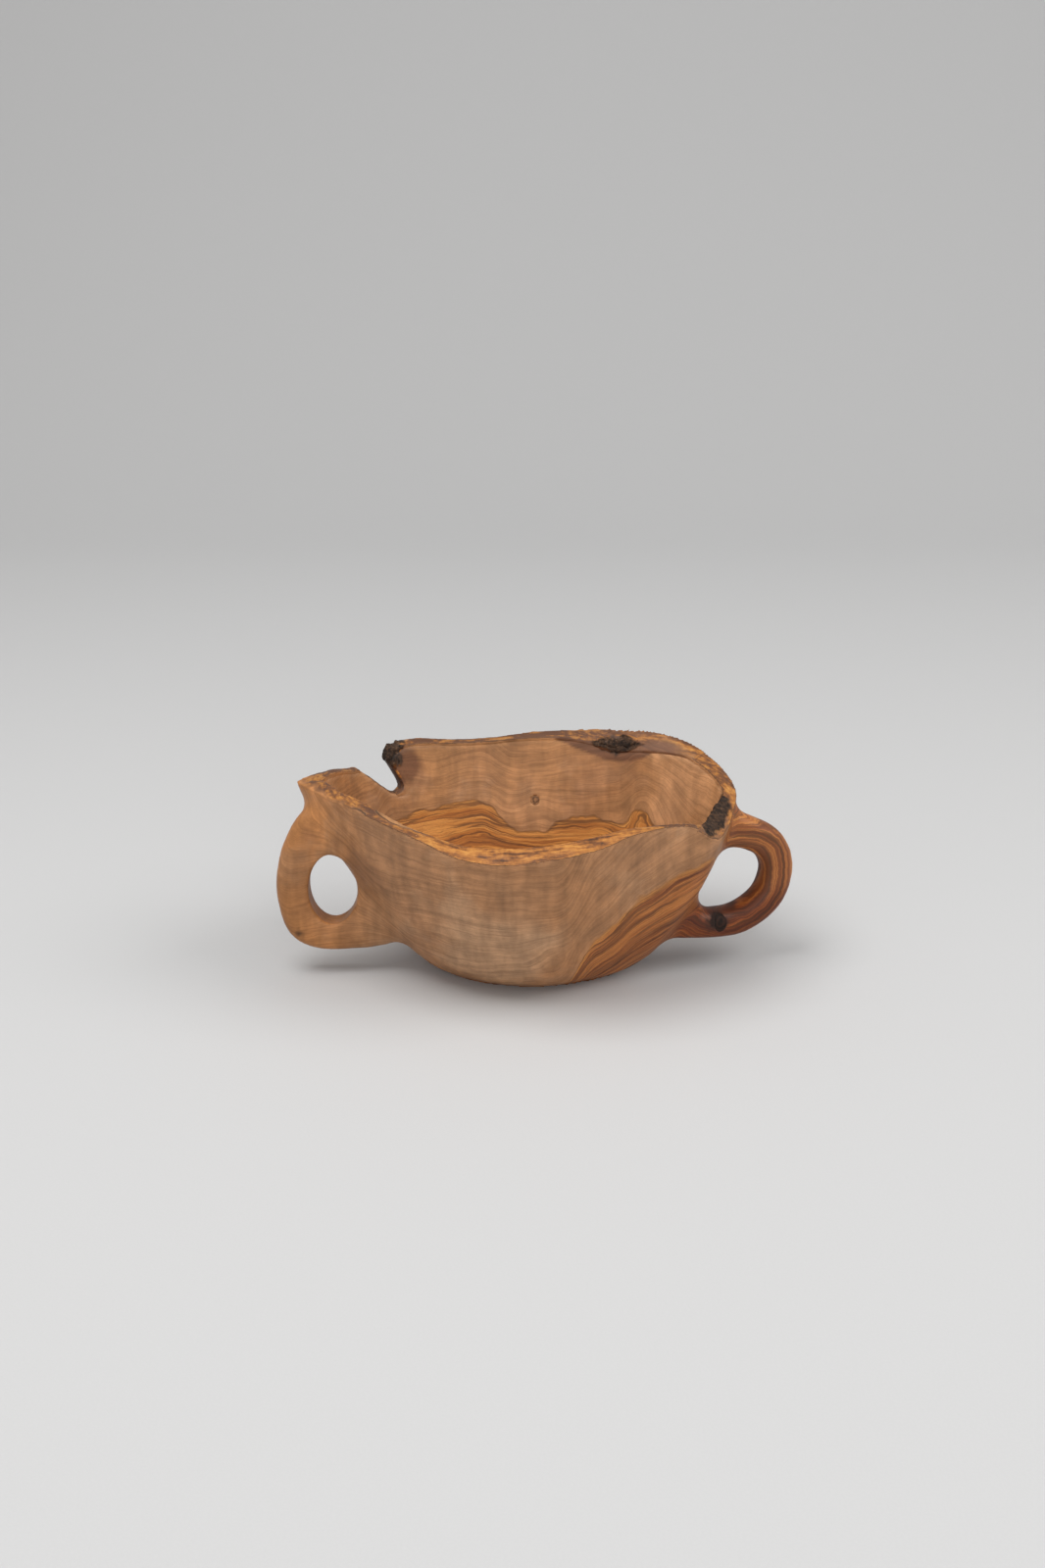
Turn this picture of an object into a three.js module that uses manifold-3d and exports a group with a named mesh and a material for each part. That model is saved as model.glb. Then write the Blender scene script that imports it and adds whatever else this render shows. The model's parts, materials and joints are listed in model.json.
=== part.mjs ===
// A two-handled bowl carved from one piece of figured wood, with the tree's own edge left along its rim.
// Millimetres, +Z up. The origin is the middle of the flat foot, +X runs towards the right handle and
// +Y towards the back wall. The pouring lip points to -X.

import * as THREE from "three";
import { LoftGeometry } from "three/addons/geometries/LoftGeometry.js";
import { mergeVertices } from "three/addons/utils/BufferGeometryUtils.js";
import Module from "manifold-3d";

const wasm = await Module();
wasm.setup();

// Clearance between pieces that touch
const SEAT_GAP = 0.3;

// Rim, counterclockwise from the right end: the place of its outer edge (x, y, z), the width of the live
// edge there, and how much higher the inner side of the live edge lies than the outer side
const RIM = [
  [134, 12, 115, 9, 3],
  [134.5, 30, 117.5, 10, 2],
  [127, 54, 123.5, 11, -1],
  [110, 76, 131.5, 11, -5],
  [84, 91, 136, 12, -11],
  [56, 97, 136, 11, -12],
  [28, 99, 135, 9, -5],
  [-2, 99, 133, 7.5, -2],
  [-32, 97, 129.5, 6, -1],
  [-60, 92.5, 130, 6.5, -1],
  [-84, 86, 133, 8, -2],
  [-104, 74, 132, 9, -2],
  [-121, 57, 123, 8, -1],
  [-136, 36, 127.5, 8, 0],
  [-148, 19, 130, 12, 0],
  [-157, 8, 129, 18, 0],
  [-148, -7, 130, 13, 2],
  [-133, -24, 128.5, 10, 3],
  [-115, -45, 128.5, 9.5, 3],
  [-96, -63, 126.5, 9, 1],
  [-72, -80, 121.5, 10, 1],
  [-47, -91, 113.5, 12, 4.5],
  [-22, -97, 111.5, 13, 7],
  [10, -98.5, 115.5, 13, 5.5],
  [38, -92, 119.5, 11, 5],
  [62, -79.5, 125, 8, 2],
  [82, -65.5, 124.5, 6, 0],
  [99, -54, 121, 6.5, 0.5],
  [116, -43, 107, 11, 9],
  [125, -23, 107, 12, 9],
  [131, -4, 111.5, 11, 7],
];

// Rows of the rim where something starts, stops or joins
const RIGHT_END_ROW = 0;
const RIGHT_TO_BACK_ROW = 2.8;
const BACK_BARK_ROW = 4.9;
const BACK_KNOT_ROW = 6.9;
const NOTCH_ROW = 11.1;
const LIP_ROW = 15;
const LEFT_TO_FRONT_ROW = 18;
const FRONT_TO_BARK_ROW = 27.4;
const BARK_TO_RIGHT_ROW = 30.2;

// Foot, floor and wall
const FOOT_LENGTH = 104;
const FOOT_WIDTH = 57;
const FLOOR_LENGTH = 92;
const FLOOR_WIDTH = 50;
const FLOOR_THICKNESS = 13;
const WALL_THICKNESS = 8;
const BELLY_LIFT = 3;
const BELLY_REACH = 0.55;
const RIGHT_BELLY_REACH = 0.45;
const LIP_BELLY_REACH = 0.36;
const SHOULDER_HEIGHT = 0.6;
const WALL_FLARE = 0.15;
const LIP_FLARE = 0.1;
const LIP_SHARPNESS = 40;
const CORNER_EASE_ROWS = 1.3;
const CUT_OVERRUN = 60;

// Live edge: a skin of inner bark on top of the wall
const SKIN_THICKNESS = 2.2;
const SKIN_CROWN = 0.8;

// Notch through the wall at the back left: points along the rim and below its top, with the bark that lines it
const NOTCH_OUTLINE = [
  [-30, 4],
  [-26, -7],
  [-20, -15],
  [-6, -28],
  [0, -31.3],
  [5, -30.5],
  [7.5, -26.5],
  [4, -16],
  [0.5, -7],
  [4, -1],
  [9, 6],
];
const NOTCH_REACH = 40;
const HORN_BARK_OUTLINE = [
  [2, -33.5],
  [9, -33],
  [13, -26],
  [9, -15],
  [8, -7],
  [13, 1],
  [15, 8],
  [-8, 8],
  [-8, -8],
  [-3, -16],
  [1, -26],
];

// Outer bark in the rim
const BARK_STAND = 1.4;
const BARK_RIPPLE = 0.8;
const BARK_RIPPLE_TURN = 2.3;
const BACK_BARK_LENGTH = 30;
const BACK_BARK_WIDTH = 7;
const BACK_BARK_DEPTH = 5;
const BACK_BARK_ACROSS = 0.55;

// Knots
const BACK_KNOT_HEIGHT = 89;
const BACK_KNOT_DIAMETER = 6;
const BACK_KNOT_DEPTH = 5;
const HANDLE_KNOT_STEP = 0.87;
const HANDLE_KNOT_RISE = 3;
const HANDLE_KNOT_WIDTH = 9;
const HANDLE_KNOT_HEIGHT = 13;
const HANDLE_KNOT_DEPTH = 9;
const KNOT_TAPER = 0.8;

// Handles: points of each loop's middle line, as reach from the wall, height and half the band's width
const GRIP_HEIGHT = 60;
const GRIP_SQUARENESS = 2.5;
const LEFT_HANDLE = {
  row: LIP_ROW,
  heading: THREE.MathUtils.degToRad(182),
  aside: 11,
  halfDepth: 9.5,
  loop: [
    [-9, 112, 19],
    [18, 100, 19],
    [31, 87.5, 13.2],
    [38, 69, 10.8],
    [37.5, 50.5, 11],
    [31, 33, 11.6],
    [14, 26.5, 10.6],
    [-8, 32, 16],
    [-45, 42, 18],
  ],
};
const RIGHT_HANDLE = {
  row: RIGHT_END_ROW,
  heading: THREE.MathUtils.degToRad(20),
  aside: -9,
  halfDepth: 11,
  loop: [
    [-8, 103, 15],
    [14.5, 97, 13],
    [28, 92, 11.2],
    [43, 82.5, 11.2],
    [50, 66.5, 11],
    [44.5, 45.5, 11],
    [25, 32, 10.6],
    [5, 30.5, 10],
    [-34, 38, 12],
  ],
};

// Fineness of the surfaces
const STATIONS = 112;
const WALL_STEPS = 10;
const LOOP_STEPS = 36;
const LOOP_SIDES = 18;
const ROUND_SIDES = 20;
const SPLINE_STEPS = 4;
const EASE_STEPS = 4;
const SEARCH_STEPS = 40;

const UP = new THREE.Vector3(0, 0, 1);

// Solids and meshes

function solidOf(geometry) {
  const bare = new THREE.BufferGeometry();
  bare.setAttribute("position", geometry.getAttribute("position"));
  bare.setIndex(geometry.getIndex());
  const merged = mergeVertices(bare);
  const vertProperties = merged.getAttribute("position").array;
  const triVerts = Uint32Array.from(merged.getIndex().array);
  return new wasm.Manifold(new wasm.Mesh({ numProp: 3, vertProperties, triVerts }));
}

function meshOf(name, solid, color, roughness) {
  const { vertProperties, triVerts } = solid.getMesh();
  const geometry = new THREE.BufferGeometry();
  geometry.setAttribute("position", new THREE.BufferAttribute(vertProperties, 3));
  geometry.setIndex(new THREE.BufferAttribute(triVerts, 1));
  geometry.computeVertexNormals();
  const material = new THREE.MeshStandardMaterial({ color, roughness, metalness: 0 });
  const mesh = new THREE.Mesh(geometry, material);
  mesh.name = name;
  return mesh;
}

function loft(sections) {
  return solidOf(new LoftGeometry(sections, { capStart: true, capEnd: true }));
}

// The rim as two closed curves, and the wall below it as two arcs at any place round the rim

function closedCurve(points) {
  return new THREE.CatmullRomCurve3(points, true, "centripetal");
}

const placeOf = (row) => row / RIM.length;

function inwardAt(row) {
  const [xa, ya] = RIM[(row + RIM.length - 1) % RIM.length];
  const [xb, yb] = RIM[(row + 1) % RIM.length];
  return new THREE.Vector3(ya - yb, xb - xa, 0).normalize();
}

const outerEdge = closedCurve(RIM.map(([x, y, z]) => new THREE.Vector3(x, y, z)));
const innerEdge = closedCurve(
  RIM.map(([x, y, z, width, rise], row) =>
    new THREE.Vector3(x, y, z + rise).addScaledVector(inwardAt(row), width)),
);

function ellipsePoint(angle, length, width, height) {
  const a = length / 2;
  const b = width / 2;
  const radius = (a * b) / Math.hypot(b * Math.cos(angle), a * Math.sin(angle));
  return new THREE.Vector3(radius * Math.cos(angle), radius * Math.sin(angle), height);
}

function planBlend(from, to, share, height) {
  return from.clone().lerp(to, share).setZ(height);
}

function towardsAxis(point, distance) {
  const plan = point.clone().setZ(0).normalize();
  return point.clone().addScaledVector(plan, -distance);
}

// The mean of the rim over a short stretch, which rounds its corners off for the wall below
function easedRim(place) {
  const mean = new THREE.Vector3();
  for (let i = -EASE_STEPS; i <= EASE_STEPS; i++) {
    const offset = placeOf((i / EASE_STEPS) * CORNER_EASE_ROWS);
    mean.add(outerEdge.getPoint((1 + place + offset) % 1));
  }
  return mean.divideScalar(2 * EASE_STEPS + 1);
}

function wallAt(place) {
  const rim = outerEdge.getPoint(place);
  const lip = innerEdge.getPoint(place);
  const eased = easedRim(place);
  const angle = Math.atan2(rim.y, rim.x);
  const foot = ellipsePoint(angle, FOOT_LENGTH, FOOT_WIDTH, 0);
  const floor = ellipsePoint(angle, FLOOR_LENGTH, FLOOR_WIDTH, FLOOR_THICKNESS);
  const lipShare = Math.max(0, -Math.cos(angle)) ** LIP_SHARPNESS;
  const flare = THREE.MathUtils.lerp(WALL_FLARE, LIP_FLARE, lipShare);
  const rightShare = Math.max(0, Math.cos(angle)) ** 2;
  const sideReach = THREE.MathUtils.lerp(BELLY_REACH, RIGHT_BELLY_REACH, rightShare);
  const reach = THREE.MathUtils.lerp(sideReach, LIP_BELLY_REACH, lipShare);
  const belly = planBlend(foot, eased, reach, BELLY_LIFT);
  const shoulder = planBlend(eased, foot, flare, rim.z * SHOULDER_HEIGHT);
  const innerBelly = towardsAxis(belly, WALL_THICKNESS).setZ(FLOOR_THICKNESS + BELLY_LIFT);
  const innerShoulder = towardsAxis(shoulder, WALL_THICKNESS);
  return {
    outer: new THREE.CubicBezierCurve3(foot, belly, shoulder, rim),
    inner: new THREE.CubicBezierCurve3(floor, innerBelly, innerShoulder, lip),
  };
}

// The point of a wall arc that lies a distance below its top end, along the arc
function belowTop(arc, distance) {
  return 1 - distance / (3 * arc.v3.distanceTo(arc.v2));
}

function pointAtHeight(arc, height) {
  let low = 0;
  let high = 1;
  for (let i = 0; i < SEARCH_STEPS; i++) {
    const middle = (low + high) / 2;
    if (arc.getPoint(middle).z < height) {
      low = middle;
    } else {
      high = middle;
    }
  }
  return arc.getPoint(low);
}

const places = Array.from({ length: STATIONS }, (_, i) => outerEdge.getUtoTmapping(i / STATIONS));
const walls = places.map(wallAt);

function stationOf(row) {
  const place = placeOf(row);
  return places.findIndex((p, i) => i === STATIONS - 1 || places[i + 1] > place);
}

// The carved wall and floor: the outside up to the rim, with the hollow cut out of it

function ringsOf(arcOf, short) {
  const rings = [];
  for (let i = 0; i <= WALL_STEPS; i++) {
    const share = i / WALL_STEPS;
    rings.push(walls.map((wall) => arcOf(wall).getPoint(share * belowTop(arcOf(wall), short))));
  }
  return rings;
}

function bowlSolid(short) {
  const outside = ringsOf(({ outer }) => outer, short);
  const inside = ringsOf(({ inner }) => inner, short);
  const innerRim = inside[WALL_STEPS];
  const mouth = innerRim.map((p) => towardsAxis(p, WALL_THICKNESS));
  const above = innerRim.map((p) => p.clone().addScaledVector(UP, CUT_OVERRUN));
  return loft([...outside, innerRim, mouth]).subtract(loft([...inside, above]));
}

// The space that the bowl fills from outside, grown by a clearance
function bowlEnvelope(grow) {
  const outside = ringsOf(({ outer }) => outer, 0);
  const grown = outside.map((ring) => ring.map((p) => towardsAxis(p, -grow)));
  const above = grown[WALL_STEPS].map((p) => p.clone().addScaledVector(UP, CUT_OVERRUN));
  return loft([...grown, above]);
}

// Strips of the live edge, made of the same sections as the wall

function skinSection({ outer, inner }, stand) {
  const outerTop = outer.v3;
  const innerTop = inner.v3;
  const outerSeat = outer.getPoint(belowTop(outer, SKIN_THICKNESS));
  const innerSeat = inner.getPoint(belowTop(inner, SKIN_THICKNESS));
  const across = innerTop.clone().sub(outerTop);
  const crown = outerTop.clone().addScaledVector(across, 0.5).addScaledVector(UP, stand);
  return [innerSeat, innerTop, crown, outerTop, outerSeat].map((p) => p.clone());
}

function blendSections(a, b, share) {
  return a.map((p, i) => p.clone().lerp(b[i], share));
}

function skinStrip(fromRow, toRow, standAt) {
  const first = stationOf(fromRow);
  const count = (stationOf(toRow) - first + STATIONS) % STATIONS;
  const sections = [];
  for (let i = 0; i <= count; i++) {
    sections.push(skinSection(walls[(first + i) % STATIONS], standAt(i)));
  }
  const pitch = outerEdge.getLength() / STATIONS;
  const trim = SEAT_GAP / pitch;
  const start = blendSections(sections[0], sections[1], trim);
  const end = blendSections(sections[count], sections[count - 1], trim);
  return loft([start, ...sections.slice(1, count), end]);
}

const crownStand = () => SKIN_CROWN;
const barkStand = (i) => BARK_STAND + BARK_RIPPLE * Math.sin(BARK_RIPPLE_TURN * i);

// The notch: an outline in the plane of the rim there, pushed through the wall

const notchPlace = placeOf(NOTCH_ROW);
const notchTop = outerEdge.getPoint(notchPlace);
const notchAlong = outerEdge.getTangent(notchPlace).setZ(0).normalize().negate();
const notchThrough = new THREE.Vector3().crossVectors(notchAlong, UP);

function notchShape(points) {
  const curve = new THREE.SplineCurve(points.map(([s, z]) => new THREE.Vector2(s, z)));
  return new THREE.Shape(curve.getPoints(SPLINE_STEPS * (points.length - 1)));
}

function throughWall(shape) {
  const geometry = new THREE.ExtrudeGeometry(shape, { depth: 2 * NOTCH_REACH, bevelEnabled: false });
  geometry.translate(0, 0, -NOTCH_REACH);
  const frame = new THREE.Matrix4().makeBasis(notchAlong, UP, notchThrough).setPosition(notchTop);
  return solidOf(geometry.applyMatrix4(frame));
}

// Each point of a counterclockwise outline moved out from it by a distance
function grownOutline(points, distance) {
  return points.map(([s, z], i) => {
    const [sa, za] = points.at(i - 1);
    const [sb, zb] = points[(i + 1) % points.length];
    const length = Math.hypot(sb - sa, zb - za);
    return [s + ((zb - za) / length) * distance, z - ((sb - sa) / length) * distance];
  });
}

const notch = throughWall(notchShape(NOTCH_OUTLINE));

function hornBarkZone(grow) {
  return throughWall(notchShape(grownOutline(HORN_BARK_OUTLINE, grow)));
}

// A lump of bark lying along the rim, on the middle of the live edge
function rimLump(row, length, width, depth, grow) {
  const place = placeOf(row);
  const outer = outerEdge.getPoint(place);
  const inner = innerEdge.getPoint(place);
  const along = outerEdge.getTangent(place);
  const across = inner.clone().sub(outer);
  const middle = outer.clone().addScaledVector(across, BACK_BARK_ACROSS);
  const normal = new THREE.Vector3().crossVectors(across, along).normalize();
  if (normal.z < 0) {
    normal.negate();
  }
  const side = new THREE.Vector3().crossVectors(normal, along).normalize();
  const geometry = new THREE.SphereGeometry(1, ROUND_SIDES, ROUND_SIDES / 2);
  geometry.scale(length / 2 + grow, width / 2 + grow, depth / 2 + grow);
  const seat = middle.addScaledVector(normal, BARK_STAND - depth / 2);
  const frame = new THREE.Matrix4().makeBasis(along, side, normal).setPosition(seat);
  return solidOf(geometry.applyMatrix4(frame));
}

// A handle: a rounded band swept round its loop, before the bowl is cut away from its roots

function handleFrame({ row, heading, aside }) {
  const root = pointAtHeight(wallAt(placeOf(row)).outer, GRIP_HEIGHT).setZ(0);
  const out = new THREE.Vector3(Math.cos(heading), Math.sin(heading), 0);
  const side = new THREE.Vector3().crossVectors(UP, out);
  return { root: root.addScaledVector(side, aside), out, side };
}

function handleCurves(handle) {
  const { root, out, side } = handleFrame(handle);
  const middle = handle.loop.map(([reach, height]) =>
    root.clone().addScaledVector(out, reach).addScaledVector(UP, height));
  const sizes = handle.loop.map(([, , half]) => new THREE.Vector3(half, 0, 0));
  return {
    side,
    path: new THREE.CatmullRomCurve3(middle),
    half: new THREE.CatmullRomCurve3(sizes),
  };
}

function rounded(value) {
  return Math.sign(value) * Math.abs(value) ** (2 / GRIP_SQUARENESS);
}

function handleSolid(handle) {
  const { side, path, half } = handleCurves(handle);
  const sections = [];
  for (let i = 0; i <= LOOP_STEPS; i++) {
    const step = i / LOOP_STEPS;
    const centre = path.getPoint(step);
    const tangent = path.getTangent(step);
    const normal = new THREE.Vector3().crossVectors(side, tangent);
    const ring = [];
    for (let k = 0; k < LOOP_SIDES; k++) {
      const angle = (2 * Math.PI * k) / LOOP_SIDES;
      const point = centre.clone();
      point.addScaledVector(normal, half.getPoint(step).x * rounded(Math.cos(angle)));
      point.addScaledVector(side, handle.halfDepth * rounded(Math.sin(angle)));
      ring.push(point);
    }
    sections.push(ring);
  }
  return loft(sections);
}

// A round or oval plug, set into the wood along a direction
function knotPlug(centre, direction, width, height, depth, grow) {
  const geometry = new THREE.CylinderGeometry(1, KNOT_TAPER, 2 * depth, ROUND_SIDES);
  geometry.rotateX(Math.PI / 2);
  geometry.scale(width / 2 + grow, height / 2 + grow, 1 + grow / depth);
  const across = new THREE.Vector3().crossVectors(UP, direction).normalize();
  const upright = new THREE.Vector3().crossVectors(direction, across);
  const frame = new THREE.Matrix4().makeBasis(across, upright, direction).setPosition(centre);
  return solidOf(geometry.applyMatrix4(frame));
}

function backKnot(grow) {
  const { inner } = wallAt(placeOf(BACK_KNOT_ROW));
  const centre = pointAtHeight(inner, BACK_KNOT_HEIGHT);
  const direction = centre.clone().setZ(0).normalize().negate();
  return knotPlug(centre, direction, BACK_KNOT_DIAMETER, BACK_KNOT_DIAMETER, BACK_KNOT_DEPTH, grow);
}

function handleKnot(grow) {
  const { side, path } = handleCurves(RIGHT_HANDLE);
  const direction = side.clone().negate();
  const centre = path.getPoint(HANDLE_KNOT_STEP).addScaledVector(direction, RIGHT_HANDLE.halfDepth);
  centre.addScaledVector(UP, HANDLE_KNOT_RISE);
  return knotPlug(centre, direction, HANDLE_KNOT_WIDTH, HANDLE_KNOT_HEIGHT, HANDLE_KNOT_DEPTH, grow);
}

// Cutting and seating the pieces

const envelope = bowlEnvelope(SEAT_GAP);
const wood = bowlSolid(SKIN_THICKNESS + SEAT_GAP);
const backSkin = skinStrip(RIGHT_TO_BACK_ROW, NOTCH_ROW, crownStand);
const leftSkin = skinStrip(NOTCH_ROW, LEFT_TO_FRONT_ROW, crownStand);
const frontSkin = skinStrip(LEFT_TO_FRONT_ROW, FRONT_TO_BARK_ROW, crownStand);
const rightBark = skinStrip(FRONT_TO_BARK_ROW, BARK_TO_RIGHT_ROW, barkStand);
const rightSkin = skinStrip(BARK_TO_RIGHT_ROW, RIGHT_TO_BACK_ROW, crownStand);
const rightLoop = handleSolid(RIGHT_HANDLE).subtract(envelope);
const leftLoop = handleSolid(LEFT_HANDLE).subtract(envelope);

const backBark = rimLump(BACK_BARK_ROW, BACK_BARK_LENGTH, BACK_BARK_WIDTH, BACK_BARK_DEPTH, 0);
const backPocket = rimLump(BACK_BARK_ROW, BACK_BARK_LENGTH, BACK_BARK_WIDTH, BACK_BARK_DEPTH, SEAT_GAP);
const hornBark = bowlSolid(0).intersect(hornBarkZone(0)).subtract(notch);
const hornPocket = hornBarkZone(SEAT_GAP).add(notch);

const body = wood.subtract(hornPocket).subtract(backPocket).subtract(backKnot(SEAT_GAP));
const backEdge = backSkin.subtract(hornPocket).subtract(backPocket);

// The assembled bowl

const WOOD = 0xa8774a;
const HEARTWOOD = 0x8a5630;
const LIVE_EDGE = 0xa05f28;
const BARK = 0x3a2c22;
const KNOT = 0x4a3020;

const bowl = new THREE.Group();
bowl.add(
  meshOf("bowl_body", body, WOOD, 0.5),
  meshOf("left_handle", leftLoop, WOOD, 0.5),
  meshOf("right_handle", rightLoop.subtract(handleKnot(SEAT_GAP)), HEARTWOOD, 0.45),
  meshOf("left_live_edge", leftSkin.subtract(hornPocket), LIVE_EDGE, 0.6),
  meshOf("front_live_edge", frontSkin, LIVE_EDGE, 0.6),
  meshOf("right_live_edge", rightSkin, LIVE_EDGE, 0.6),
  meshOf("back_live_edge", backEdge, LIVE_EDGE, 0.6),
  meshOf("horn_bark", hornBark, BARK, 0.9),
  meshOf("back_rim_bark", backBark, BARK, 0.9),
  meshOf("right_rim_bark", rightBark, BARK, 0.9),
  meshOf("back_wall_knot", wood.intersect(backKnot(0)), KNOT, 0.5),
  meshOf("right_handle_knot", rightLoop.intersect(handleKnot(0)), KNOT, 0.5),
);

export default bowl;
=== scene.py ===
"""Looks of the two-handled live-edge bowl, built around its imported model.

The wall and the handles are one carved piece, as on the real bowl. The live edge, the outer bark and the
knots are pieces of their own, grown a little into the wood. Lengths are millimetres unless a name says
otherwise, and the scene is in metres.
"""

import itertools
import json
import math

import bmesh
import bpy
import numpy as np
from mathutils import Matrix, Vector
from mathutils.bvhtree import BVHTree

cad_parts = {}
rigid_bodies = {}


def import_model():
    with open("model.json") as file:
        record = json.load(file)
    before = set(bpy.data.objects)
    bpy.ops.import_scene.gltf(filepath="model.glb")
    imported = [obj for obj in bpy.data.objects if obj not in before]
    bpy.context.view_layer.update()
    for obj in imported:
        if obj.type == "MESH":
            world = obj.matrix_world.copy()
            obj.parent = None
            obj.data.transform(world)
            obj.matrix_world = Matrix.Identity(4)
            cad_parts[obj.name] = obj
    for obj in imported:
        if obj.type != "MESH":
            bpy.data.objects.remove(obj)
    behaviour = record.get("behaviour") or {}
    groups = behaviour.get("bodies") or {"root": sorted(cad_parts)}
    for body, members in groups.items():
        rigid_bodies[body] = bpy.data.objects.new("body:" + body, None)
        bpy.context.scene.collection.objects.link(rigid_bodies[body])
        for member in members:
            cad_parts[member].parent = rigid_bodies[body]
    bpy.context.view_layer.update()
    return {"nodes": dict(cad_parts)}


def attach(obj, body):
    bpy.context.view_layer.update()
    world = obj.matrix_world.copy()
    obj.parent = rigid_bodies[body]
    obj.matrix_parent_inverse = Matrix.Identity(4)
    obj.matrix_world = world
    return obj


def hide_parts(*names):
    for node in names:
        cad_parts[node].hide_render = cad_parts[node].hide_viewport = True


MM = 0.001

# Pieces of the frame
HANDLE_NODES = ["left_handle", "right_handle"]
WOOD_NODES = ["bowl_body", *HANDLE_NODES]
EDGE_NODES = ["left_live_edge", "front_live_edge", "right_live_edge", "back_live_edge"]
BARK_NODES = ["horn_bark", "back_rim_bark", "right_rim_bark"]

# The left finger hole as an oval: its middle, half its sizes along x and z, and how far its sides may move
LEFT_HOLE = (-133, -5, 61)
LEFT_HOLE_HALF = (16.5, 25)
HOLE_CUT = 4
HOLE_FILL = 9
HOLE_FACING = (0.1, 0.6)
HOLE_REACH = (1.5, 2.1)
HOLE_DEPTH = (9, 18)

# Closing the clearances of the frame
SEAT_REACH = 0.7
SEAT_OVERLAP = 1.2

# Meshing and smoothing
WOOD_VOXEL = 1.75
EDGE_VOXEL = 0.7
BARK_VOXEL = 0.6
WELD = 0.01
SMOOTH_IN = 0.5
SMOOTH_OUT = 0.52
WOOD_SMOOTHING = 60
HOLE_SMOOTHING = 6
RIM_SMOOTHING = 16
RIM_SETTLING = 5

# Fillets at the roots of the handles
CORE_VOXEL = 4
CORE_SUNK = 1.6
CORE_ROOT_RAISE = 0.7
CORE_FILLET_STEPS = 130
FILLET_STEPS = 60
FILLET_FADE = (15, 30)
FILLET_PACE = 0.5
NORMALS_EVERY = 5

# Local changes of form beside the notch: the middle of each, its reach, and how far it moves
SHIFTS = [((-113, 52, 112), 10, (0, 0, 2.4)), ((-101, 58, 102), 12, (0, 0, 2.4))]

# How far the pieces stand proud or lie sunk
WOOD_SUNK = 0.55
WOOD_SUNK_FADE = (0.1, 0.7)
SKIN_PROUD = 0.1
SKIRT_SUNK = 0.3
CRUST_PROUD = 0.3
KNOT_GROWTH = 0.6
KNOT_GAP = 0.03

# Noise is given as layers, with the size, the depth and the seed of each
NOISE_CELLS = 32
CARVING = [(38, 0.35, 3), (11, 0.1, 4)]
BAST_ROUGHNESS = [(9, 0.4, 41), (3, 0.22, 42)]
CRUST_ROUGHNESS = [(6, 0.6, 51), (2.8, 0.5, 52), (1.4, 0.25, 53)]
BARK_SEED_SHIFT = 10

# Which faces count as what: by the upward or outward part of their normal, their height or their distance
SUNK_FACING = (0.1, 0.5)
SKIN_FACING = (0.2, 0.7)
SKIRT_FACING = (0, 0.4)
BAST_FACING = (0.4, 0.9)
OUTSIDE_FACING = (0.3, 0.6)
WALL_FACING = 0.3
FLOOR_FACING = 0.5
FLOOR_TOP = 40
FOOT_FACING = -0.9
FOOT_TOP = 1.5
HANDLE_CLEAR = (0.8, 2.5)

# Top of the heartwood in the back and the front wall: places along x, and its height there
BACK_HEART_TOP = [
    (-135, -40), (-104, 82), (-70, 87), (-44, 93), (-31, 91), (-22, 77), (-12, 69), (8, 70),
    (21, 78), (52, 78), (61, 73), (66, 79), (73, 92), (82, 80), (90, 74), (97, 70),
]
FRONT_HEART_TOP = [(18, 0), (28, 22), (34, 44), (47, 55), (64, 73), (87, 83), (112, 93)]
FRONT_TO_BACK = (-45, 25)
HEART_ROUNDING = (-5, -2.5, 0, 2.5, 5)
HEART_FRAY = [(16, 2.6, 21), (7, 1.6, 22), (3, 0.7, 23)]
LEFT_SAPWOOD = (-85, -105)
LEFT_SAPWOOD_DEPTH = 80
LEFT_END = (-100, -145)
RIGHT_LOOP = (132, 64)
RIGHT_LOOP_DEPTH = 30
RIGHT_LOOP_START = (70, 100)
RIGHT_LOOP_REACH = (2, 16)
# Heights over which the lower arm of the right handle turns darker: painted shade under the handle
RIGHT_ARM_SHADE_HEIGHT = (62, 40)

# Growth rings: how they follow the hills of the heartwood, and the eyes: middle, reach and height of each
BACK_RING_HEIGHT = 69
HILL_RINGS = 0.6
HILL_FADE = (35, 95)
EYES = [((16, -72, 44), 13, 16), ((3, 80, 89), 10, 9), ((84, 68, 98), 16, 12)]
RING_WARP = [(60, 6, 11), (22, 2.2, 12), (9, 0.9, 13)]

# The rim as an oval, for streaks that run along it
RIM_LENGTH = 145
RIM_WIDTH = 98
RIM_RADIUS = 118

# The stain under the back rim: its lower edge by places along x, and its strength on the rim by degrees
STAIN_BOTTOM = [
    (-10, 145), (12, 131), (23, 127), (42, 120), (59, 115), (68, 117), (78, 120), (84, 127), (96, 145),
]
STAIN_FRAY = [(7, 1, 31)]
STAIN_FADE = (-0.8, 1.0)
RIM_STAIN = [(0, 0), (36, 0), (47, 1), (64, 1), (72, 0), (360, 0)]
RIM_STAIN_FADE = (0.25, 0.45)

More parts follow.
